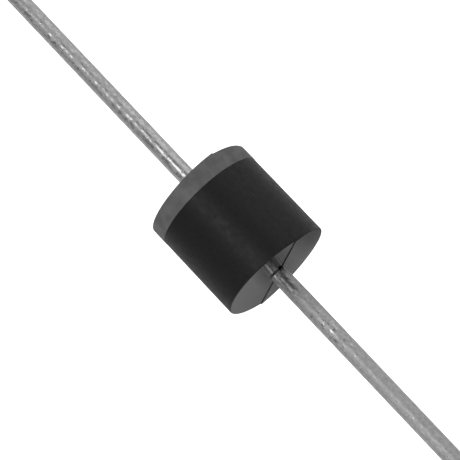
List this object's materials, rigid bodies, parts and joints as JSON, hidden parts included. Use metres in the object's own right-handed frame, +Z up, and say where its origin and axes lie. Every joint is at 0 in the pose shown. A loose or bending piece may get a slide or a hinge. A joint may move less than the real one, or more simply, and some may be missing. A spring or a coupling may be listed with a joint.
{
  "type": "tvs diode",
  "caption": "Round black moulded diode with a printed cathode band at one end and a straight tinned wire lead at each end, made to clamp voltage surges on a circuit board.",
  "frame": {"origin": "middle of the moulded body, on the axis of the leads", "axes": "+X along the leads towards the anode end, the cathode band towards -X, +Z up; the mould's parting plane holds the X axis and is turned from +Z towards +Y"},
  "size_m": [0.0598, 0.009, 0.009],
  "materials": {
    "mould_compound": "smooth black epoxy moulding compound, satin from above and glossy at a low angle",
    "marking_ink": "grey marking ink, matt",
    "tinned_wire": "drawn copper wire with bright, slightly mottled tin plating",
    "solder": "dull grey solder",
    "silicon": "polished dark grey silicon"
  },
  "bodies": {
    "root": {"moulded_body": "mould_compound", "cathode_band": "marking_ink", "cathode_lead": "tinned_wire", "anode_lead": "tinned_wire", "cathode_solder": "solder", "anode_solder": "solder", "silicon_die": "silicon"}
  },
  "joints": []
}
